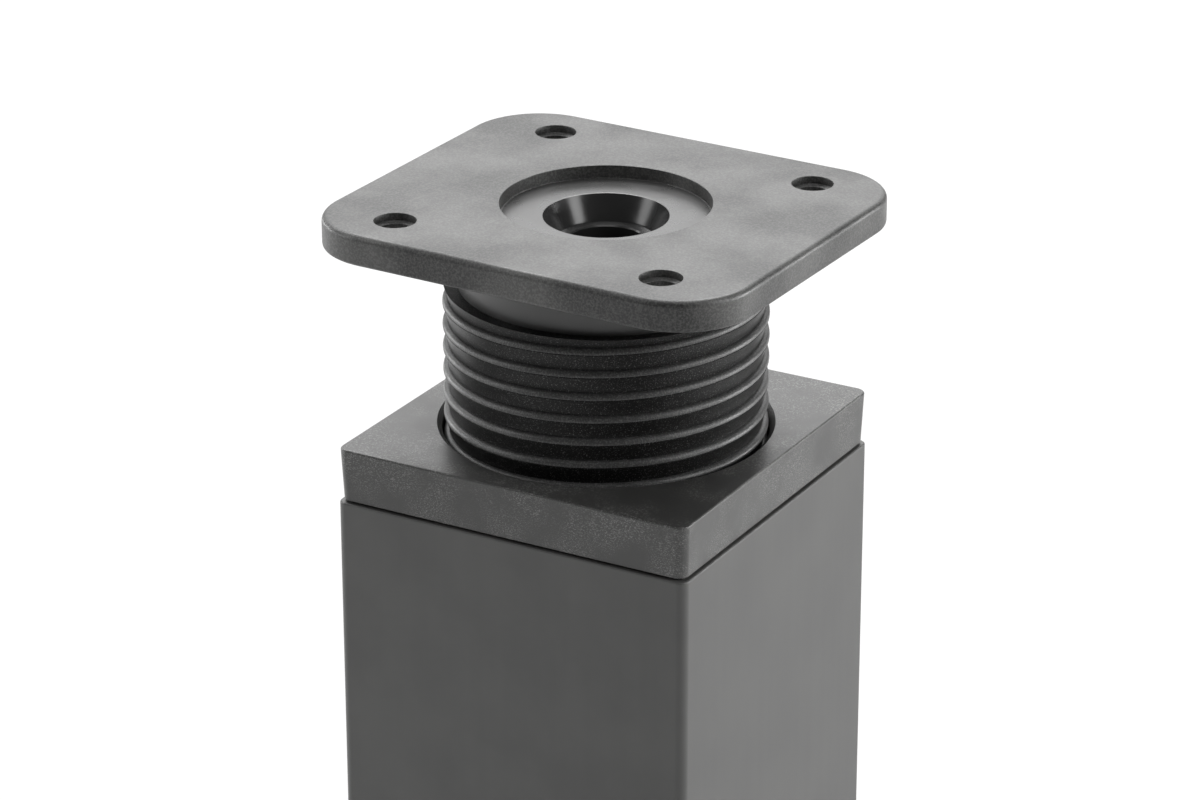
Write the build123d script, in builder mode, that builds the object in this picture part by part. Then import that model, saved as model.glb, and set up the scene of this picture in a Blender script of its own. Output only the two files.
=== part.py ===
from build123d import *
from math import ceil, hypot
import os

# A screw-adjustable furniture leg: a square steel tube, a moulded insert pressed into
# its upper end, and a moulded head whose hollow threaded stem turns in that insert.
# Millimetres, +Z up. The origin is on the floor in the middle of the leg, and the
# tube's faces look along X and Y. The head is screwed out as far as photographed.

# Square tube
tube_width = 60.0
tube_wall = 1.5
tube_length = 83.0
tube_corner_radius = 1.5
tube_inner_radius = 0.6
tube_rim_chamfer = 0.3

# End cap in the tube's lower end
foot_thickness = 3.0
foot_inset = 0.2
foot_edge_chamfer = 0.8
foot_plug_height = 15.0
foot_plug_wall = 2.0

# Insert: square collar on the rim, plug in the tube, threaded socket in the middle
plug_clearance = 0.1
plug_depth = 15.0
plug_skin = 1.8
plug_corner_radius = 1.0
plug_lead_in = 0.8
collar_height = 8.4
collar_top_inset = 0.15
collar_bottom_inset = 0.45
collar_corner_radius = 1.7
collar_edge_chamfer = 0.3
shoulder_inset = 1.0
shoulder_height = 0.3
socket_inset = 0.88
socket_wall = 2.4
socket_web = 1.6
socket_entry = 0.7
pocket_roof = 2.0

# Screw thread of the stem, and the ridge of the socket that runs in it
thread_pitch = 3.6
thread_depth = 0.8
root_land = 0.25
upper_flank_height = 0.55
thread_clearance = 0.32
ridge_tip_gap = 0.45
thread_phase = 1.2
thread_bite = 0.4
flank_sink = 0.04
ridge_turns = 1

# Head: plate, neck and threaded stem in one moulding
turned_out = 30.0
closed_gap = 0.6
plate_length = 71.3
plate_depth = 62.7
plate_thickness = 4.8
plate_corner_radius = 11.6
plate_top_chamfer = 0.7
plate_bottom_chamfer = 0.4
plate_yaw = -1.4
neck_step = 1.5
neck_height = 7.8
threaded_length = 33.0
stem_wall = 2.0
stem_end_chamfer = 0.8

# Openings of the plate
screw_hole_radius = 3.2
screw_hole_spacing = 45.6
recess_radius = 16.0
recess_depth = 2.1
recess_edge_chamfer = 0.2
cone_top_radius = 9.55
cone_bottom_radius = 7.6
cone_depth = 3.9
through_radius = 5.8
cup_wall = 2.0

# Guide plate clipped on the stem's lower end, which stops under the insert
further_out = 5.0
guide_thickness = 2.4
guide_clearance = 0.3
guide_corner_radius = 2.0
guide_slit = 2.0
clip_step = 1.6
clip_lip = 0.7
clip_lip_height = 1.6
running_clearance = 0.3

# Heights above the floor
rim_z = foot_thickness + tube_length
collar_bottom_z = rim_z + shoulder_height
collar_top_z = collar_bottom_z + collar_height
collar_edge_z = collar_top_z - collar_edge_chamfer
insert_bottom_z = rim_z - plug_depth
plate_bottom_z = collar_top_z + closed_gap + turned_out
plate_top_z = plate_bottom_z + plate_thickness
recess_floor_z = plate_top_z - recess_depth
cone_bottom_z = recess_floor_z - cone_depth
cup_bottom_z = cone_bottom_z - cup_wall
thread_top_z = plate_bottom_z - neck_height
thread_end_z = thread_top_z - threaded_length
guide_top_z = insert_bottom_z - further_out - running_clearance
guide_bottom_z = guide_top_z - guide_thickness
pilot_bottom_z = guide_top_z + running_clearance
lip_top_z = guide_bottom_z - running_clearance
stem_bottom_z = lip_top_z - clip_lip_height

# Widths and radii that follow from the fits
tube_inside = tube_width - 2 * tube_wall
foot_width = tube_width - 2 * foot_inset
plug_width = tube_inside - 2 * plug_clearance
pocket_width = plug_width - 2 * plug_skin
foot_cup_width = plug_width - 2 * foot_plug_wall
collar_top_width = tube_width - 2 * collar_top_inset
collar_bottom_width = tube_width - 2 * collar_bottom_inset
shoulder_width = tube_width - 2 * shoulder_inset
guide_width = tube_inside - 2 * guide_clearance
socket_radius = plug_width / 2 - socket_inset
bore_radius = socket_radius - socket_wall
crest_radius = bore_radius - thread_clearance
root_radius = crest_radius - thread_depth
neck_radius = root_radius - neck_step
stem_bore_radius = neck_radius - stem_wall
clip_radius = root_radius - clip_step
guide_hole_radius = clip_radius + running_clearance
lip_radius = clip_radius + clip_lip

# Flanks of the thread. Heights count down from a crest's upper edge, which lies
# thread_phase under the thread's upper end on the +X side.
crest_z = thread_top_z - thread_phase
lower_flank_height = thread_pitch - root_land - upper_flank_height
upper_slope = upper_flank_height / thread_depth
lower_slope = lower_flank_height / thread_depth
gap_over_ridge = thread_clearance * hypot(1, lower_slope)
gap_under_ridge = thread_clearance * hypot(1, upper_slope)


def wind(profile, first_turn, turns):
    """Carry a profile of (radius, height down from a crest) up along the thread."""
    start_z = crest_z - first_turn * thread_pitch
    with BuildPart() as wound:
        with BuildLine():
            path = Helix(thread_pitch, turns * thread_pitch, crest_radius, center=(0, 0, start_z))
        with BuildSketch(Plane.XZ):
            with BuildLine():
                Polyline([(radius, start_z - down) for radius, down in profile], close=True)
            make_face()
        sweep(path=path, is_frenet=True)
    return wound.part


def socket_ridge_profile():
    """The ridge keeps thread_clearance from both flanks of the groove it runs in."""
    points = []
    tip_radius = root_radius + ridge_tip_gap
    for radius in (bore_radius + flank_sink, tip_radius):
        points.append((radius, (crest_radius - radius) * lower_slope + gap_over_ridge))
    for radius in (tip_radius, bore_radius + flank_sink):
        points.append((radius, thread_pitch - (crest_radius - radius) * upper_slope - gap_under_ridge))
    points.append((bore_radius + thread_bite, points[-1][1]))
    points.append((bore_radius + thread_bite, points[0][1]))
    return points


with BuildPart() as tube:
    with BuildSketch(Plane.XY.offset(foot_thickness)):
        RectangleRounded(tube_width, tube_width, tube_corner_radius)
        RectangleRounded(tube_inside, tube_inside, tube_inner_radius, mode=Mode.SUBTRACT)
    extrude(amount=tube_length)
    rim_face = tube.faces().sort_by(Axis.Z)[-1]
    chamfer(rim_face.outer_wire().edges(), tube_rim_chamfer)

with BuildPart() as end_cap:
    with BuildSketch():
        RectangleRounded(foot_width, foot_width, tube_corner_radius)
    extrude(amount=foot_thickness)
    chamfer(end_cap.edges().group_by(Axis.Z)[0], foot_edge_chamfer)
    with BuildSketch(Plane.XY.offset(foot_thickness)):
        RectangleRounded(plug_width, plug_width, plug_corner_radius)
        Rectangle(foot_cup_width, foot_cup_width, mode=Mode.SUBTRACT)
    extrude(amount=foot_plug_height)

with BuildPart() as insert:
    # Plug, cored out behind its four corners with a web across each pocket
    with BuildSketch(Plane.XY.offset(insert_bottom_z)):
        RectangleRounded(plug_width, plug_width, plug_corner_radius)
    extrude(amount=plug_depth)
    chamfer(insert.edges().group_by(Axis.Z)[0], plug_lead_in)
    with BuildSketch(Plane.XY.offset(insert_bottom_z)):
        Rectangle(pocket_width, pocket_width)
        Circle(socket_radius, mode=Mode.SUBTRACT)
        for angle in (45, 135):
            Rectangle(2 * tube_width, socket_web, rotation=angle, mode=Mode.SUBTRACT)
    extrude(amount=plug_depth - pocket_roof, mode=Mode.SUBTRACT)
    # Shoulder on the tube's rim, and the collar that widens a little upwards
    with BuildSketch(Plane.XY.offset(rim_z)):
        RectangleRounded(shoulder_width, shoulder_width, plug_corner_radius)
    extrude(amount=shoulder_height)
    with BuildSketch(Plane.XY.offset(collar_bottom_z)):
        RectangleRounded(collar_bottom_width, collar_bottom_width, collar_corner_radius)
    with BuildSketch(Plane.XY.offset(collar_edge_z)):
        RectangleRounded(collar_top_width, collar_top_width, collar_corner_radius)
    loft()
    with BuildSketch(Plane.XY.offset(collar_edge_z)):
        RectangleRounded(collar_top_width, collar_top_width, collar_corner_radius)
    extrude(amount=collar_edge_chamfer, taper=45)
    # Bore that opens at its mouth, turned so that its seam is clear of the ridge's ends
    with BuildSketch(Plane.YZ):
        with BuildLine():
            Polyline(
                (0, insert_bottom_z),
                (bore_radius, insert_bottom_z),
                (bore_radius, collar_top_z - socket_entry),
                (bore_radius + socket_entry, collar_top_z),
                (0, collar_top_z),
                close=True,
            )
        make_face()
    revolve(axis=Axis.Z, mode=Mode.SUBTRACT)
    turns_above = ceil((crest_z - collar_top_z + socket_entry) / thread_pitch)
    add(wind(socket_ridge_profile(), turns_above + ridge_turns, ridge_turns))

with BuildPart() as stem_thread:
    # One crest, its flanks run on a little into the core, cut level at both ends.
    # Under it the stem is a plain pilot that passes the ridge.
    sink = flank_sink / thread_depth + 1
    outer_profile = [
        (root_radius - thread_bite, -upper_flank_height * sink),
        (root_radius - flank_sink, -upper_flank_height * sink),
        (crest_radius, 0),
        (root_radius - flank_sink, lower_flank_height * sink),
        (root_radius - thread_bite, lower_flank_height * sink),
    ]
    thread_turns = ceil((crest_z - thread_end_z) / thread_pitch) + 1
    add(wind(outer_profile, thread_turns, thread_turns + 2))
    split(bisect_by=Plane.XY.offset(thread_top_z), keep=Keep.BOTTOM)
    split(bisect_by=Plane.XY.offset(thread_end_z), keep=Keep.TOP)

with BuildPart() as plate:
    plate_plane = Plane.XY.offset(plate_bottom_z).rotated((0, 0, plate_yaw))
    with BuildSketch(plate_plane):
        RectangleRounded(plate_length, plate_depth, plate_corner_radius)
    extrude(amount=plate_thickness)
    chamfer(plate.edges().group_by(Axis.Z)[-1], plate_top_chamfer)
    chamfer(plate.edges().group_by(Axis.Z)[0], plate_bottom_chamfer)
    with BuildSketch(plate_plane):
        with GridLocations(screw_hole_spacing, screw_hole_spacing, 2, 2):
            Circle(screw_hole_radius)
    extrude(amount=plate_thickness, mode=Mode.SUBTRACT)

with BuildPart() as head:
    # Neck and stem, hollow from below, with the clip for the guide at the lower end
    with BuildSketch(Plane.YZ):
        with BuildLine():
            Polyline(
                (stem_bore_radius, plate_bottom_z),
                (neck_radius, plate_bottom_z),
                (neck_radius, thread_top_z),
                (root_radius, thread_top_z),
                (root_radius, pilot_bottom_z + stem_end_chamfer),
                (root_radius - stem_end_chamfer, pilot_bottom_z),
                (clip_radius, pilot_bottom_z),
                (clip_radius, lip_top_z),
                (lip_radius, lip_top_z),
                (clip_radius, stem_bottom_z),
                (stem_bore_radius, stem_bottom_z),
                close=True,
            )
        make_face()
    revolve(axis=Axis.Z)
    add(stem_thread.part)
    add(plate.part)
    # Cup that hangs under the plate round the central hole
    with BuildSketch(Plane.YZ):
        with BuildLine():
            Polyline(
                (0, plate_bottom_z),
                (cone_top_radius + cup_wall, plate_bottom_z),
                (cone_bottom_radius + cup_wall, cup_bottom_z),
                (0, cup_bottom_z),
                close=True,
            )
        make_face()
    revolve(axis=Axis.Z)
    # Recess, tapered hole with its ledge, and the way through to the hollow stem
    with BuildSketch(Plane.YZ):
        with BuildLine():
            Polyline(
                (0, plate_top_z),
                (recess_radius + recess_edge_chamfer, plate_top_z),
                (recess_radius, plate_top_z - recess_edge_chamfer),
                (recess_radius, recess_floor_z),
                (cone_top_radius, recess_floor_z),
                (cone_bottom_radius, cone_bottom_z),
                (through_radius, cone_bottom_z),
                (through_radius, cup_bottom_z),
                (0, cup_bottom_z),
                close=True,
            )
        make_face()
    revolve(axis=Axis.Z, mode=Mode.SUBTRACT)

with BuildPart() as guide:
    with BuildSketch(Plane.XY.offset(guide_bottom_z)):
        RectangleRounded(guide_width, guide_width, guide_corner_radius)
        Circle(guide_hole_radius, mode=Mode.SUBTRACT)
        with Locations((guide_width / 2, 0)):
            Rectangle(guide_width, guide_slit, mode=Mode.SUBTRACT)
    extrude(amount=guide_thickness)

os.makedirs("parts", exist_ok=True)
tube.part.label = "tube"
export_step(tube.part, "parts/tube.step")
end_cap.part.label = "end_cap"
export_step(end_cap.part, "parts/end_cap.step")
insert.part.label = "insert"
export_step(insert.part, "parts/insert.step")
head.part.label = "head"
export_step(head.part, "parts/head.step")
guide.part.label = "guide"
export_step(guide.part, "parts/guide.step")
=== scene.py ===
from math import atan2, cos, hypot, pi, radians, sin

import bmesh
import bpy
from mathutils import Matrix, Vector


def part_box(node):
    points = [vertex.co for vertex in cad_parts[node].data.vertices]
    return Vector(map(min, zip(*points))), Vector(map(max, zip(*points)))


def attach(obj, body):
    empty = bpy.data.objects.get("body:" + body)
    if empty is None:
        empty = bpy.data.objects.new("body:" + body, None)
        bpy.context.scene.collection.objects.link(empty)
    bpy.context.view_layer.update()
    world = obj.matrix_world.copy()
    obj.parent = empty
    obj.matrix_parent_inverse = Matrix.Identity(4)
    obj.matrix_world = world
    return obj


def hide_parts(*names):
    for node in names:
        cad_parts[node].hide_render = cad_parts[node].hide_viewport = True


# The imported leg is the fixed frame. Every length here is in metres, in that frame.
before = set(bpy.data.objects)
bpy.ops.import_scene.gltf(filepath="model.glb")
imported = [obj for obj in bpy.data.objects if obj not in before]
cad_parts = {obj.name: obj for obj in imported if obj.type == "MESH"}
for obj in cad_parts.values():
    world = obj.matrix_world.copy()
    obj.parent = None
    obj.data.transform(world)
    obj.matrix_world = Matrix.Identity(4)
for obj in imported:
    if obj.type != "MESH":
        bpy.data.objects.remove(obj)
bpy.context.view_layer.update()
MM = 0.001

# Sizes read from the solids
TUBE_LOW, TUBE_HIGH = (Vector(corner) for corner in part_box("tube"))
INSERT_LOW, INSERT_HIGH = (Vector(corner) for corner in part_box("insert"))
HEAD_LOW, HEAD_HIGH = (Vector(corner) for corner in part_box("head"))
GUIDE_LOW, GUIDE_HIGH = (Vector(corner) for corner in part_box("guide"))
RIM_Z = TUBE_HIGH.z
COLLAR_TOP = INSERT_HIGH.z
PLATE_TOP = HEAD_HIGH.z
TUBE_WIDTH = TUBE_HIGH.x - TUBE_LOW.x

# Tube
TUBE_WALL = 1.5 * MM
TUBE_CORNER = 1.5 * MM
TUBE_INNER_CORNER = 0.6 * MM
TUBE_ROUNDING = 0.3 * MM

# Insert
SHOULDER = 0.3 * MM
SHOULDER_WIDTH = 58 * MM
COLLAR_TOP_WIDTH = 59.7 * MM
COLLAR_BOTTOM_WIDTH = 59.1 * MM
COLLAR_CORNER = 1.7 * MM
COLLAR_ROUNDING = 0.3 * MM
PLUG_WIDTH = 56.8 * MM
PLUG_CORNER = 1 * MM
PLUG_LEAD_IN = 0.8 * MM
BORE_RADIUS = 25.12 * MM
SOCKET_ENTRY = 0.7 * MM

# Thread. Heights go down from the upper edge of a crest, which is rounded over.
PITCH = 3.6 * MM
CREST_RADIUS = 24.8 * MM
ROOT_RADIUS = 24 * MM
CREST_LAND = 0.3 * MM
UPPER_FLANK = 0.55 * MM
ROOT_LAND = 0.25 * MM
GROOVE_HEIGHT = 0.16 * MM
GROOVE_DEPTH = 0.07 * MM
HOLLOW_OF_FLANK = 0.1 * MM
NECK_HEIGHT = 7.8 * MM
THREADED_LENGTH = 33 * MM
PHASE = 1.2 * MM
STEPS_PER_TURN = 144

# Head
PLATE_LENGTH = 71.3 * MM
PLATE_DEPTH = 62.7 * MM
PLATE_THICKNESS = 4.8 * MM
PLATE_CORNER = 11.6 * MM
PLATE_TOP_ROUNDING = 1 * MM
PLATE_BOTTOM_ROUNDING = 0.5 * MM
PLATE_YAW = radians(-1.4)
NECK_RADIUS = 22.5 * MM
STEM_BORE = 20.5 * MM
SCREW_HOLE = 3.2 * MM
SCREW_SPACING = 45.6 * MM
HOLE_ROUNDING = 0.25 * MM
HOLE_TAPER_STARTS = 1.15 * MM
HOLE_TAPER_ENDS = 1.5 * MM
HOLE_NARROWS = 0.7 * MM
RECESS_RADIUS = 16 * MM
RECESS_DEPTH = 2.1 * MM
RECESS_ROUNDING = 0.2 * MM
CONE_TOP = 9.55 * MM
CONE_BOTTOM = 7.6 * MM
CONE_DEPTH = 3.9 * MM
THROUGH_RADIUS = 5.8 * MM
CUP_WALL = 2 * MM
CLIP_RADIUS = 22.4 * MM
CLIP_LIP = 0.7 * MM
CLIP_GAP = 0.3 * MM
STEM_CHAMFER = 0.8 * MM
NECK_FLARE = 0.4 * MM

# Sides of the round forms, steps of a rounding, and the angle past which an edge is sharp
HOLE_SIDES = 48
RECESS_SIDES = 128
BORE_SIDES = 160
CORNER_STEPS = 8
PLATE_CORNER_STEPS = 20
CREST_STEPS = 10
SHARP_ANGLE = radians(32)

# Places of the finishes in the head's list
# The flank finish carries painted shade, the crest finish a painted highlight
GRAINED, SEAT, FLANK, NECK_SKIN, CREST, RECESS_FLOOR = range(6)

# Camera, set from the photograph's edges
CAMERA_HEADING = radians(-29.593)
CAMERA_DOWN = radians(22.998)
CAMERA_ROLL = radians(0.0924)
CAMERA_DISTANCE = 0.66891
CAMERA_LENS = 131.42
AIM_ABOVE_RIM = 11.8 * MM
AIM_LEFT = 0.957 * MM

# Floor: tint, and share of its own white glow where the camera sees it and in reflections
FLOOR_TINT = (0.85, 0.85, 0.85, 1)
GLOW_SEEN = 0.9
GLOW_MIRRORED = 0.5
FLOOR_REACH = 6.0

# Backdrop: strength of its light, and how much whiter the camera sees it
SKY_LIGHT = 0.04
SKY_SEEN = 0.96


# Nodes, and shader maths on their sockets

def add_node(tree, kind, settings=None, values=None):
    """A node of a kind: its settings first, then the values or links of its sockets."""
    node = tree.nodes.new(kind)
    for name, setting in (settings or {}).items():
        setattr(node, name, setting)
    for place, value in (values or {}).items():
        if isinstance(value, Value):
            value = value.socket
        if isinstance(value, bpy.types.NodeSocket):
            tree.links.new(value, node.inputs[place])
        else:
            node.inputs[place].default_value = value
    return node


class Value:
    """A number in a node tree that + - * and the functions below work on."""

    def __init__(self, tree, socket):
        self.tree = tree
        self.socket = socket

    def worked(self, operation, *values):
        node = add_node(self.tree, "ShaderNodeMath", {"operation": operation}, dict(enumerate(values)))
        return Value(self.tree, node.outputs[0])

    def __add__(self, other):
        return self.worked("ADD", self, other)

    def __radd__(self, other):
        return self.worked("ADD", other, self)

    def __sub__(self, other):
        return self.worked("SUBTRACT", self, other)

    def __rsub__(self, other):
        return self.worked("SUBTRACT", other, self)

    def __mul__(self, other):
        return self.worked("MULTIPLY", self, other)

    def __rmul__(self, other):
        return self.worked("MULTIPLY", other, self)

    def larger(self, other):
        return self.worked("MAXIMUM", self, other)

    def rounded(self):
        return self.worked("ROUND", self)

    def cosine(self):
        return self.worked("COSINE", self)

    def sine(self):
        return self.worked("SINE", self)

    def ramp(self, low, high, to_low=0.0, to_high=1.0):
        """Rises smoothly from to_low at low to to_high at high."""
        node = add_node(self.tree, "ShaderNodeMapRange", {"interpolation_type": "SMOOTHSTEP"}, {
            "Value": self, "From Min": low, "From Max": high, "To Min": to_low, "To Max": to_high,
        })
        return Value(self.tree, node.outputs["Result"])


class Surface:
    """A material under construction: a Principled shader and fields to drive it."""

    def __init__(self, name, specular=0.5):
        self.material = bpy.data.materials.new(name)
        self.material.use_nodes = True
        self.tree = self.material.node_tree
        self.shader = self.tree.nodes["Principled BSDF"]
        self.shader.inputs["Specular IOR Level"].default_value = specular
        self.place = add_node(self.tree, "ShaderNodeTexCoord").outputs["Object"]

    def feed(self, socket, source):
        self.tree.links.new(source, self.shader.inputs[socket])

    def noise(self, size, detail=2.0, rough=0.5, stretch=(1, 1, 1)):
        """Noise whose patches are about size metres across."""
        where = add_node(self.tree, "ShaderNodeMapping", None, {"Vector": self.place, "Scale": stretch})
        node = add_node(self.tree, "ShaderNodeTexNoise", None, {
            "Vector": where.outputs["Vector"], "Scale": 1 / size, "Detail": detail, "Roughness": rough,
        })
        return Value(self.tree, node.outputs["Fac"])

    def colour(self, low, high, amount):
        """Tints from low to high by amount."""
        node = add_node(self.tree, "ShaderNodeMix", {"data_type": "RGBA"}, {
            "A": (*low, 1), "B": (*high, 1), "Factor": amount,
        })
        self.feed("Base Color", node.outputs["Result"])

    def roughness(self, amount):
        self.feed("Roughness", amount.socket)

    def bump(self, amount, depth, below=None):
        """Relief of depth metres, on top of an earlier bump where one is given."""
        values = {"Distance": depth, "Strength": 1.0, "Height": amount}
        if below:
            values["Normal"] = below.outputs["Normal"]
        node = add_node(self.tree, "ShaderNodeBump", None, values)
        self.feed("Normal", node.outputs["Normal"])
        return node


def powder_coat():
    """Fine matt black coat on the tube, a little cloudy, with faint upright streaks."""
    coat = Surface("fine_matt_black_coat")
    clouds = coat.noise(14 * MM, 3, 0.55)
    streaks = coat.noise(3 * MM, 2, 0.5, (1, 1, 0.06))
    shade = 0.75 * clouds + 0.25 * streaks
    coat.colour((0.042, 0.042, 0.041), (0.056, 0.056, 0.054), shade.ramp(0.3, 0.7))
    coat.roughness((0.5 * clouds + 0.5 * streaks).ramp(0.3, 0.7, 0.40, 0.47))
    waves = coat.bump(coat.noise(9 * MM, 1), 0.03 * MM)
    coat.bump(coat.noise(0.25 * MM, 2), 0.004 * MM, waves)
    return coat.material


def collar_plastic():
    """Smooth moulded black with pale scuffed grains that gather in patches."""
    skin = Surface("smooth_black_plastic", specular=0.44)
    patches = skin.noise(10 * MM, 3, 0.55).ramp(0.36, 0.60)
    grains = skin.noise(0.26 * MM, 2, 0.7, (1, 1, 2)).ramp(0.50, 0.66)
    skin.colour((0.034, 0.034, 0.033), (0.15, 0.15, 0.145), patches * grains)
    skin.roughness(skin.noise(7 * MM, 3).ramp(0.3, 0.7, 0.29, 0.38))
    skin.bump(skin.noise(0.3 * MM, 2), 0.004 * MM)
    return skin.material


def plate_plastic():
    """Eroded grain of the moulding tool on the plate, over soft sink marks."""
    skin = Surface("grained_black_plastic")
    grain = skin.noise(0.32 * MM, 3, 0.6)
    clouds = skin.noise(13 * MM, 2, 0.45)
    tint = 0.55 * grain.ramp(0.40, 0.66) + 0.45 * clouds.ramp(0.32, 0.68)
    skin.colour((0.008, 0.008, 0.008), (0.080, 0.080, 0.077), tint)
    skin.roughness(clouds.ramp(0.3, 0.7, 0.49, 0.40))
    sinks = skin.bump(skin.noise(18 * MM, 1, 0.4), 0.7 * MM)
    skin.bump(grain, 0.022 * MM, sinks)
    return skin.material


def flank_with_painted_shade():
    """Thread's flanks with a fine light speckle, painted deep black as the shade they lie in under the plate.
    """
    skin = Surface("speckled_painted_shade_plastic", specular=0.18)
    speckle = skin.noise(0.2 * MM, 2, 0.6)
    # Near-black base is painted shade; the pale speckle is the plastic's own
    skin.colour((0.004, 0.004, 0.004), (0.075, 0.075, 0.073), speckle.ramp(0.56, 0.70))
    skin.roughness(skin.noise(6 * MM, 2).ramp(0.3, 0.7, 0.38, 0.45))
    skin.bump(speckle, 0.010 * MM)
    return skin.material


def crest_with_painted_highlight():
    """Crests of the thread, painted paler than its flanks as a highlight where they face up into the light.
    """
    skin = Surface("painted_highlight_crest_plastic")
    # Random grain within the painted highlight of the crests
    crest_mottle = skin.noise(0.25 * MM, 2, 0.6).ramp(0.45, 0.65)
    skin.colour((0.026, 0.026, 0.026), (0.070, 0.070, 0.068), crest_mottle)
    skin.roughness(skin.noise(3 * MM, 3).ramp(0.3, 0.7, 0.42, 0.50))
    skin.bump(skin.noise(0.3 * MM, 1), 0.002 * MM)
    return skin.material


def neck_plastic():
    """Satin skin of the neck under the plate."""
    skin = Surface("satin_black_plastic")
    skin.colour((0.040, 0.040, 0.040), (0.050, 0.050, 0.049), skin.noise(6 * MM, 2))
    skin.roughness(skin.noise(5 * MM, 2).ramp(0.3, 0.7, 0.36, 0.41))
    return skin.material


def recess_plastic():
    """Smoother skin on the floor of the recess."""
    skin = Surface("smooth_recess_plastic")
    skin.colour((0.036, 0.036, 0.036), (0.046, 0.046, 0.045), skin.noise(6 * MM, 2))
    skin.roughness(skin.noise(5 * MM, 2).ramp(0.3, 0.7, 0.25, 0.31))
    return skin.material


def polished_plastic():
    """Bright seat of the central hole."""
    skin = Surface("polished_black_plastic")
    skin.colour((0.018, 0.018, 0.018), (0.026, 0.026, 0.026), skin.noise(5 * MM, 2))
    skin.roughness(skin.noise(4 * MM, 2).ramp(0.3, 0.7, 0.19, 0.26))
    return skin.material


# Mesh building

def bridge(mesh, rows, material=0):
    """Quads between rings of as many points each."""
    for lower, upper in zip(rows, rows[1:]):
        for place in range(len(lower)):
            after = (place + 1) % len(lower)
            face = mesh.faces.new((lower[place], lower[after], upper[after], upper[place]))
            face.material_index = material


def ring(mesh, radius, height, count, centre=(0, 0)):
    return [
        mesh.verts.new((centre[0] + radius * cos(2 * pi * i / count),
                        centre[1] + radius * sin(2 * pi * i / count), height))
        for i in range(count)
    ]


def rounded_square(mesh, width, depth, corner, height, steps=CORNER_STEPS, yaw=0.0):
    """A ring of points round a rectangle with round corners."""
    verts = []
    for quarter in range(4):
        angle = quarter * pi / 2
        along = 1 if quarter in (0, 3) else -1
        across = 1 if quarter in (0, 1) else -1
        centre = Vector((along * (width / 2 - corner), across * (depth / 2 - corner)))
        for step in range(steps + 1):
            turn = angle + pi / 2 * step / steps
            point = centre + corner * Vector((cos(turn), sin(turn)))
            verts.append(mesh.verts.new((point.x * cos(yaw) - point.y * sin(yaw),
                                         point.x * sin(yaw) + point.y * cos(yaw), height)))
    return verts


def loop_edges(mesh, loop):
    edges = []
    for place, vert in enumerate(loop):
        other = loop[(place + 1) % len(loop)]
        edges.append(mesh.edges.get((vert, other)) or mesh.edges.new((vert, other)))
    return edges


def fill(mesh, loops, material=0):
    """A flat face between an outer loop and the loops of its holes."""
    edges = [edge for loop in loops for edge in loop_edges(mesh, loop)]
    made = bmesh.ops.triangle_fill(mesh, use_beauty=True, use_dissolve=False, edges=edges)
    for part in made["geom"]:
        if isinstance(part, bmesh.types.BMFace):
            part.material_index = material


def finished(name, mesh, materials, body, node):
    """Turns a mesh under construction into a piece that rides on a body and stands for a solid."""
    bmesh.ops.recalc_face_normals(mesh, faces=mesh.faces)
    data = bpy.data.meshes.new(name)
    mesh.to_mesh(data)
    mesh.free()
    for material in materials:
        data.materials.append(material)
    data.shade_smooth()
    data.set_sharp_from_angle(angle=SHARP_ANGLE)
    piece = bpy.data.objects.new(name, data)
    bpy.context.scene.collection.objects.link(piece)
    level = piece.modifiers.new("flat_faces_stay_flat", "WEIGHTED_NORMAL")
    level.keep_sharp = True
    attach(piece, body)
    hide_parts(node)


# Thread: one pitch of profile, wound up by Geometry Nodes

class Tree:
    """A Geometry Nodes tree with named inputs."""

    def __init__(self, name, inputs):
        self.group = bpy.data.node_groups.new(name, "GeometryNodeTree")
        face = self.group.interface
        face.new_socket("Geometry", in_out="INPUT", socket_type="NodeSocketGeometry")
        for label, kind in inputs:
            face.new_socket(label, in_out="INPUT", socket_type=kind)
        face.new_socket("Geometry", in_out="OUTPUT", socket_type="NodeSocketGeometry")
        self.inputs = self.node("NodeGroupInput")

    def node(self, kind, settings=None, values=None):
        return add_node(self.group, kind, settings, values)

    def value(self, socket):
        return Value(self.group, socket)

    def identifier(self, label):
        for item in self.group.interface.items_tree:
            if item.item_type == "SOCKET" and item.in_out == "INPUT" and item.name == label:
                return item.identifier
        raise KeyError(label)


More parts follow.
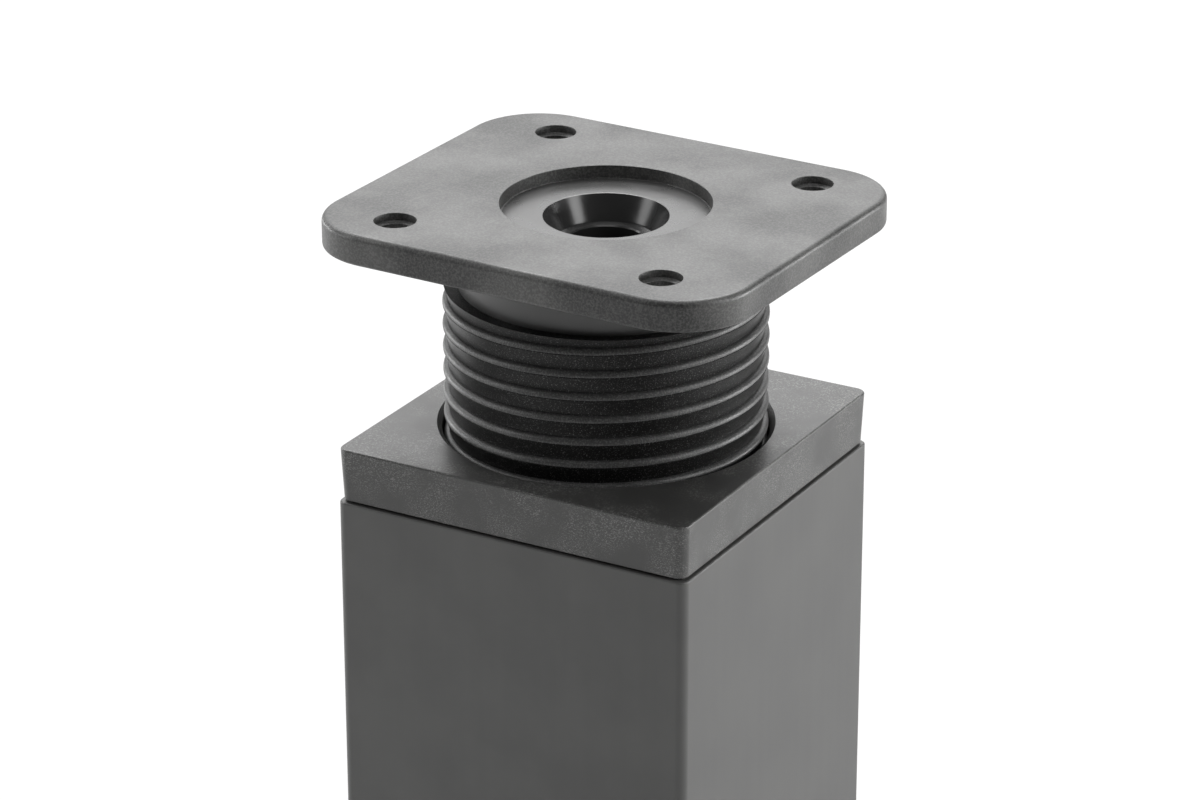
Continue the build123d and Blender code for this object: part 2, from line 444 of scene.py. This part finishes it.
def winding_tree():
    """Winds the profile that it is given up a helix. The profile runs in X and Z."""
    tree = Tree("wind_profile", [
        ("Pitch", "NodeSocketFloat"), ("Turns", "NodeSocketFloat"), ("Start", "NodeSocketFloat"),
        ("Columns", "NodeSocketInt"), ("Profile Points", "NodeSocketInt"),
        ("Finish", "NodeSocketMaterial"),
    ])
    given = tree.inputs.outputs
    grid = tree.node("GeometryNodeMeshGrid", None, {
        "Size X": 1.0, "Size Y": 1.0,
        "Vertices X": given["Columns"], "Vertices Y": given["Profile Points"],
    })
    # The grid runs from -0.5 to 0.5 both ways: along the helix in X, across the profile in Y
    spot = tree.node("GeometryNodeInputPosition")
    place = tree.node("ShaderNodeSeparateXYZ", None, {0: spot.outputs[0]})
    along = tree.value(place.outputs["X"]) + 0.5
    across = tree.value(place.outputs["Y"]) + 0.5
    index = (across * (tree.value(given["Profile Points"]) - 1.0)).rounded()
    sample = tree.node("GeometryNodeSampleIndex", {"data_type": "FLOAT_VECTOR", "domain": "POINT"}, {
        "Geometry": given["Geometry"], "Value": spot.outputs[0], "Index": index,
    })
    point = tree.node("ShaderNodeSeparateXYZ", None, {0: sample.outputs[0]})
    turned = along * tree.value(given["Turns"])
    angle = turned * (2 * pi)
    radius = tree.value(point.outputs["X"])
    rise = turned * tree.value(given["Pitch"]) + tree.value(given["Start"])
    where = tree.node("ShaderNodeCombineXYZ", None, {
        "X": radius * angle.cosine(), "Y": radius * angle.sine(),
        "Z": rise + tree.value(point.outputs["Z"]),
    })
    put = tree.node("GeometryNodeSetPosition", None, {
        "Geometry": grid.outputs["Mesh"], "Position": where.outputs[0],
    })
    weld = tree.node("GeometryNodeMergeByDistance", None, {
        "Geometry": put.outputs[0], "Distance": 0.002 * MM,
    })
    real = tree.node("GeometryNodeRealizeInstances", None, {0: weld.outputs[0]})
    paint = tree.node("GeometryNodeSetMaterial", None, {
        "Geometry": real.outputs[0], "Material": given["Finish"],
    })
    tree.node("NodeGroupOutput", None, {"Geometry": paint.outputs[0]})
    return tree


def wound_thread(profile, start_z, turns, finish):
    """The band between a low and a high helix, as a plain mesh."""
    data = bpy.data.meshes.new("thread_profile")
    data.from_pydata([(radius, 0, -down) for radius, down in profile],
                     [(i, i + 1) for i in range(len(profile) - 1)], [])
    carrier = bpy.data.objects.new("thread_profile", data)
    bpy.context.scene.collection.objects.link(carrier)
    tree = winding_tree()
    winder = carrier.modifiers.new("wind", "NODES")
    winder.node_group = tree.group
    settings = {
        "Pitch": PITCH, "Turns": float(turns), "Start": start_z,
        "Columns": turns * STEPS_PER_TURN + 1, "Profile Points": len(profile), "Finish": finish,
    }
    for label, setting in settings.items():
        winder[tree.identifier(label)] = setting
    bpy.context.view_layer.update()
    evaluated = carrier.evaluated_get(bpy.context.evaluated_depsgraph_get())
    wound = bpy.data.meshes.new_from_object(evaluated)
    bpy.data.objects.remove(carrier)
    bpy.data.meshes.remove(data)
    return wound


def cut_level(mesh, height, keep_below):
    """Cuts a mesh at a height and gives back the points along the cut, in turning order."""
    whole = mesh.verts[:] + mesh.edges[:] + mesh.faces[:]
    up = 1 if keep_below else -1
    made = bmesh.ops.bisect_plane(mesh, geom=whole, dist=1e-7, plane_co=(0, 0, height),
                                  plane_no=(0, 0, up), clear_outer=True)
    verts = [part for part in made["geom_cut"] if isinstance(part, bmesh.types.BMVert)]
    return sorted(verts, key=lambda vert: atan2(vert.co.y, vert.co.x))


def ring_from(mesh, loop, radius, height):
    """A ring at the same turning angles as an earlier one."""
    verts = []
    for vert in loop:
        reach = hypot(vert.co.x, vert.co.y)
        verts.append(mesh.verts.new((vert.co.x / reach * radius, vert.co.y / reach * radius, height)))
    return verts


# Finishes
COAT = powder_coat()
COLLAR = collar_plastic()
PLATE = plate_plastic()
FLANKS_PAINTED_SHADE = flank_with_painted_shade()
CRESTS_PAINTED_HIGHLIGHT = crest_with_painted_highlight()
NECK = neck_plastic()
RECESS = recess_plastic()
POLISHED = polished_plastic()


def make_tube():
    mesh = bmesh.new()
    inside = TUBE_WIDTH - 2 * TUBE_WALL
    r = TUBE_ROUNDING
    rows = []
    for inset, height in ((0, TUBE_LOW.z), (0, RIM_Z - r), (r * 0.08, RIM_Z - r * 0.6),
                          (r * 0.3, RIM_Z - r * 0.3), (r * 0.6, RIM_Z - r * 0.08), (r, RIM_Z)):
        rows.append(rounded_square(mesh, TUBE_WIDTH - 2 * inset, TUBE_WIDTH - 2 * inset,
                                   TUBE_CORNER - inset, height))
    rows.append(rounded_square(mesh, inside, inside, TUBE_INNER_CORNER, RIM_Z))
    rows.append(rounded_square(mesh, inside, inside, TUBE_INNER_CORNER, TUBE_LOW.z))
    rows.append(rows[0])
    bridge(mesh, rows)
    finished("coated_tube", mesh, [COAT], "leg", "tube")


def thread_profile():
    """Round crest, a fine groove under it, and a long hollow flank down to the root."""
    profile = []
    for step in range(CREST_STEPS + 1):
        turn = pi / 2 * step / CREST_STEPS
        profile.append((ROOT_RADIUS + (CREST_RADIUS - ROOT_RADIUS) * sin(turn),
                        (UPPER_FLANK + CREST_LAND) * (1 - cos(turn)) - UPPER_FLANK))
    groove_end = CREST_LAND + GROOVE_HEIGHT
    groove_edge = CREST_RADIUS - 0.3 * GROOVE_DEPTH
    profile += [
        (CREST_RADIUS - GROOVE_DEPTH, CREST_LAND + 0.3 * GROOVE_HEIGHT),
        (CREST_RADIUS - GROOVE_DEPTH, CREST_LAND + 0.7 * GROOVE_HEIGHT),
        (groove_edge, groove_end),
    ]
    flank_end = PITCH - UPPER_FLANK - ROOT_LAND
    for share in (0.04, 0.15, 0.3, 0.45, 0.6, 0.75, 0.9, 1.0):
        hollow = HOLLOW_OF_FLANK * 2 * share * (1 - share)
        profile.append((groove_edge + (ROOT_RADIUS - groove_edge) * share - hollow,
                        groove_end + (flank_end - groove_end) * share))
    profile.append((ROOT_RADIUS, PITCH - UPPER_FLANK))
    return profile


def threaded_band(thread_top, thread_end):
    """The thread as a mesh under construction, with the points along its two level cuts."""
    first = int((thread_top - PHASE - thread_end) / PITCH) + 2
    wound = wound_thread(thread_profile(), thread_top - PHASE - first * PITCH, first + 2, FLANKS_PAINTED_SHADE)
    mesh = bmesh.new()
    mesh.from_mesh(wound)
    bpy.data.meshes.remove(wound)
    # Crests run from the root above them to the fine groove. This upward-facing band gets the finish with a
    # painted highlight, the rest the flank finish with painted shade
    for face in mesh.faces:
        middle = face.calc_center_median()
        crest_z = thread_top - PHASE + PITCH * atan2(middle.y, middle.x) / (2 * pi)
        below_crest = (crest_z - middle.z) % PITCH
        on_crest = below_crest < CREST_LAND or below_crest > PITCH - UPPER_FLANK
        face.material_index = CREST if on_crest else FLANK
    high = cut_level(mesh, thread_top, True)
    low = cut_level(mesh, thread_end, False)
    return mesh, high, low


def stem_rings(mesh, low, thread_end, plate_bottom):
    """Plain pilot under the thread, clip for the guide, and the hollow of the stem."""
    pilot_bottom = GUIDE_HIGH.z + CLIP_GAP
    lip_top = GUIDE_LOW.z - CLIP_GAP
    rows = [low]
    for radius, height in (
            (ROOT_RADIUS, thread_end), (ROOT_RADIUS, pilot_bottom + STEM_CHAMFER),
            (ROOT_RADIUS - STEM_CHAMFER, pilot_bottom), (CLIP_RADIUS, pilot_bottom),
            (CLIP_RADIUS, lip_top), (CLIP_RADIUS + CLIP_LIP, lip_top), (CLIP_RADIUS, HEAD_LOW.z),
            (STEM_BORE, HEAD_LOW.z), (STEM_BORE, plate_bottom)):
        rows.append(ring_from(mesh, low, radius, height))
    return rows


def plate_rings(mesh, plate_bottom):
    """Rings up the plate's edge, over its lower and its upper rounding."""
    a, b = PLATE_BOTTOM_ROUNDING, PLATE_TOP_ROUNDING
    sides = []
    for step in range(5):
        turn = pi / 2 * step / 4
        sides.append((a * (1 - sin(turn)), plate_bottom + a * (1 - cos(turn))))
    for step in range(7):
        turn = pi / 2 * step / 6
        sides.append((b * (1 - cos(turn)), PLATE_TOP - b * (1 - sin(turn))))
    return [rounded_square(mesh, PLATE_LENGTH - 2 * inset, PLATE_DEPTH - 2 * inset,
                           PLATE_CORNER - inset, height, PLATE_CORNER_STEPS, PLATE_YAW)
            for inset, height in sides]


def screw_hole(mesh, x, y, plate_bottom):
    """Rings down a screw hole, which narrows over an inner ledge."""
    centre = (x * cos(PLATE_YAW) - y * sin(PLATE_YAW), x * sin(PLATE_YAW) + y * cos(PLATE_YAW))
    e = HOLE_ROUNDING
    rows = [ring(mesh, SCREW_HOLE + grow, height, HOLE_SIDES, centre) for grow, height in (
        (e * 0.5, PLATE_TOP), (e * 0.15, PLATE_TOP - e * 0.15), (0, PLATE_TOP - e * 0.5),
        (0, PLATE_TOP - HOLE_TAPER_STARTS), (-HOLE_NARROWS, PLATE_TOP - HOLE_TAPER_ENDS),
        (-HOLE_NARROWS, plate_bottom))]
    bridge(mesh, rows, GRAINED)
    return rows


def make_head():
    plate_bottom = PLATE_TOP - PLATE_THICKNESS
    thread_top = plate_bottom - NECK_HEIGHT
    thread_end = thread_top - THREADED_LENGTH
    mesh, high, low = threaded_band(thread_top, thread_end)
    # Neck above the thread, up into the plate
    neck = [high, ring_from(mesh, high, NECK_RADIUS, thread_top),
            ring_from(mesh, high, NECK_RADIUS, plate_bottom - NECK_FLARE),
            ring_from(mesh, high, NECK_RADIUS + NECK_FLARE, plate_bottom)]
    # The ledge under the neck takes the flank finish and its painted shade
    bridge(mesh, neck[:2], FLANK)
    bridge(mesh, neck[1:], NECK_SKIN)
    stem = stem_rings(mesh, low, thread_end, plate_bottom)
    # Pilot, clip and hollow of the stem take the flank finish and its painted shade too
    bridge(mesh, stem, FLANK)
    # Plate with its screw holes
    plate = plate_rings(mesh, plate_bottom)
    bridge(mesh, plate, GRAINED)
    top_loops, bottom_loops = [plate[-1]], [plate[0], neck[-1]]
    reach = SCREW_SPACING / 2
    for x, y in ((reach, reach), (-reach, reach), (-reach, -reach), (reach, -reach)):
        hole = screw_hole(mesh, x, y, plate_bottom)
        top_loops.append(hole[0])
        bottom_loops.append(hole[-1])
    # Recess: its wall is grained like the plate, its floor is smoother
    floor = PLATE_TOP - RECESS_DEPTH
    q = RECESS_ROUNDING
    recess = [ring(mesh, radius, height, RECESS_SIDES) for radius, height in (
        (RECESS_RADIUS + q, PLATE_TOP), (RECESS_RADIUS + q * 0.3, PLATE_TOP - q * 0.3),
        (RECESS_RADIUS, PLATE_TOP - q), (RECESS_RADIUS, floor + q),
        (RECESS_RADIUS - q * 0.3, floor + q * 0.3), (RECESS_RADIUS - q, floor),
        (CONE_TOP + q, floor), (CONE_TOP, floor - q * 0.5))]
    bridge(mesh, recess[:6], GRAINED)
    bridge(mesh, recess[5:], RECESS_FLOOR)
    # Polished seat and its through hole, with the cup that carries them under the plate
    seat = floor - CONE_DEPTH
    cone = [recess[-1]] + [ring(mesh, radius, height, RECESS_SIDES) for radius, height in (
        (CONE_BOTTOM + 0.1 * MM, seat + 0.3 * MM), (CONE_BOTTOM, seat), (THROUGH_RADIUS + 0.2 * MM, seat),
        (THROUGH_RADIUS, seat - 0.2 * MM), (THROUGH_RADIUS, seat - CUP_WALL))]
    bridge(mesh, cone, SEAT)
    cup = [cone[-1], ring(mesh, CONE_BOTTOM + CUP_WALL, seat - CUP_WALL, RECESS_SIDES),
           ring(mesh, CONE_TOP + CUP_WALL, plate_bottom, RECESS_SIDES)]
    bridge(mesh, cup, GRAINED)
    top_loops.append(recess[0])
    fill(mesh, top_loops, GRAINED)
    fill(mesh, bottom_loops, GRAINED)
    fill(mesh, [stem[-1], cup[-1]], GRAINED)
    finishes = [PLATE, POLISHED, FLANKS_PAINTED_SHADE, NECK, CRESTS_PAINTED_HIGHLIGHT, RECESS]
    finished("grained_head", mesh, finishes, "head", "head")


def make_insert():
    mesh = bmesh.new()
    collar_bottom = RIM_Z + SHOULDER
    e = COLLAR_ROUNDING
    outside = [
        (PLUG_WIDTH - 2 * PLUG_LEAD_IN, PLUG_CORNER, INSERT_LOW.z),
        (PLUG_WIDTH, PLUG_CORNER, INSERT_LOW.z + PLUG_LEAD_IN),
        (PLUG_WIDTH, PLUG_CORNER, RIM_Z),
        (SHOULDER_WIDTH, PLUG_CORNER, RIM_Z),
        (SHOULDER_WIDTH, PLUG_CORNER, collar_bottom),
        (COLLAR_BOTTOM_WIDTH - 0.2 * MM, COLLAR_CORNER, collar_bottom),
        (COLLAR_BOTTOM_WIDTH, COLLAR_CORNER, collar_bottom + 0.1 * MM),
    ]
    for step in range(6):
        turn = pi / 2 * step / 5
        outside.append((COLLAR_TOP_WIDTH - 2 * e * (1 - cos(turn)), COLLAR_CORNER,
                        COLLAR_TOP - e * (1 - sin(turn))))
    rows = [rounded_square(mesh, width, width, corner, height) for width, corner, height in outside]
    bridge(mesh, rows)
    mouth = BORE_RADIUS + SOCKET_ENTRY
    bore = [ring(mesh, radius, height, BORE_SIDES) for radius, height in (
        (mouth + 0.08 * MM, COLLAR_TOP), (mouth, COLLAR_TOP - 0.06 * MM),
        (BORE_RADIUS, COLLAR_TOP - SOCKET_ENTRY), (BORE_RADIUS, INSERT_LOW.z))]
    bridge(mesh, bore)
    fill(mesh, [rows[-1], bore[0]])
    fill(mesh, [rows[0], bore[-1]])
    finished("collar_insert", mesh, [COLLAR], "leg", "insert")


make_tube()
make_head()
make_insert()
# The end cap and the guide stay as the solids are, in the insert's finish
for node in ("end_cap", "guide"):
    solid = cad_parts[node]
    for slot in solid.material_slots:
        slot.material = COLLAR


def plain_floor():
    """Pale floor that the camera sees as white, with the leg's shadow kept."""
    paint = bpy.data.materials.new("pale_floor")
    paint.use_nodes = True
    tree = paint.node_tree
    shader = tree.nodes["Principled BSDF"]
    shader.inputs["Base Color"].default_value = FLOOR_TINT
    shader.inputs["Roughness"].default_value = 0.9
    glow = add_node(tree, "ShaderNodeEmission", None, {"Color": (1, 1, 1, 1), "Strength": 1.0})
    ray = add_node(tree, "ShaderNodeLightPath")
    camera_ray, clear_ray, mirror_ray = (
        Value(tree, ray.outputs[kind]) for kind in ("Is Camera Ray", "Is Transmission Ray", "Is Glossy Ray"))
    seen = (GLOW_SEEN * camera_ray.larger(clear_ray)).larger(GLOW_MIRRORED * mirror_ray)
    mix = add_node(tree, "ShaderNodeMixShader", None, {"Fac": seen, 1: shader.outputs[0], 2: glow.outputs[0]})
    tree.links.new(mix.outputs[0], tree.nodes["Material Output"].inputs["Surface"])
    mesh = bmesh.new()
    bmesh.ops.create_grid(mesh, x_segments=1, y_segments=1, size=FLOOR_REACH)
    data = bpy.data.meshes.new("floor")
    mesh.to_mesh(data)
    mesh.free()
    data.materials.append(paint)
    floor = bpy.data.objects.new("floor", data)
    bpy.context.scene.collection.objects.link(floor)


plain_floor()

heading = Vector((sin(CAMERA_HEADING), cos(CAMERA_HEADING), 0))
right = Vector((cos(CAMERA_HEADING), -sin(CAMERA_HEADING), 0))
forward = heading * cos(CAMERA_DOWN) - Vector((0, 0, sin(CAMERA_DOWN)))
aim = Vector((0, 0, RIM_Z + AIM_ABOVE_RIM)) - right * AIM_LEFT


def softbox(name, side, behind, up, width, height, watts):
    """A lamp at a place to the right of, behind and above what the camera aims at, turned to it."""
    light = bpy.data.lights.new(name, "AREA")
    light.shape = "RECTANGLE"
    light.size = width
    light.size_y = height
    light.energy = watts
    lamp = bpy.data.objects.new(name, light)
    lamp.location = aim + right * side + heading * behind + Vector((0, 0, up))
    lamp.rotation_euler = (aim - lamp.location).to_track_quat("-Z", "Y").to_euler()
    bpy.context.scene.collection.objects.link(lamp)


# Soft boxes: broad ones behind and above, and on each side an upright one and a low one
softbox("back_box", side=0, behind=0.9, up=0.55, width=1.6, height=0.9, watts=10)
softbox("high_back_box", side=0, behind=0.7, up=1.0, width=0.8, height=0.5, watts=12)
softbox("upper_left_box", side=-0.6, behind=0.5, up=0.7, width=0.4, height=0.4, watts=2.5)
softbox("left_box", side=-0.95, behind=-0.06, up=0.45, width=0.36, height=0.85, watts=4.4)
softbox("right_box", side=0.81, behind=-0.38, up=0.5, width=0.36, height=0.85, watts=6)
softbox("low_left_box", side=-0.9, behind=0.7, up=0.05, width=0.6, height=0.2, watts=4.5)
softbox("low_right_box", side=1.3, behind=0.2, up=0.1, width=0.6, height=0.35, watts=13)
softbox("top_box", side=0, behind=-0.1, up=1.1, width=0.7, height=0.7, watts=3)

world = bpy.data.worlds.new("studio")
bpy.context.scene.world = world
world.use_nodes = True
backdrop = world.node_tree
sky = backdrop.nodes["Background"]
sky.inputs["Color"].default_value = (1, 1, 1, 1)
ray = add_node(backdrop, "ShaderNodeLightPath")
shown = Value(backdrop, ray.outputs["Is Camera Ray"])
backdrop.links.new((SKY_LIGHT + SKY_SEEN * shown).socket, sky.inputs["Strength"])

lens = bpy.data.cameras.new("camera")
lens.sensor_width = 36
lens.lens = CAMERA_LENS
lens.clip_start = 0.01
camera = bpy.data.objects.new("camera", lens)
camera.location = aim - forward * CAMERA_DISTANCE
camera.rotation_euler = forward.to_track_quat("-Z", "Y").to_euler()
camera.rotation_euler.rotate_axis("Z", -CAMERA_ROLL)
bpy.context.scene.collection.objects.link(camera)
bpy.context.scene.camera = camera
bpy.context.scene.view_settings.view_transform = "Standard"
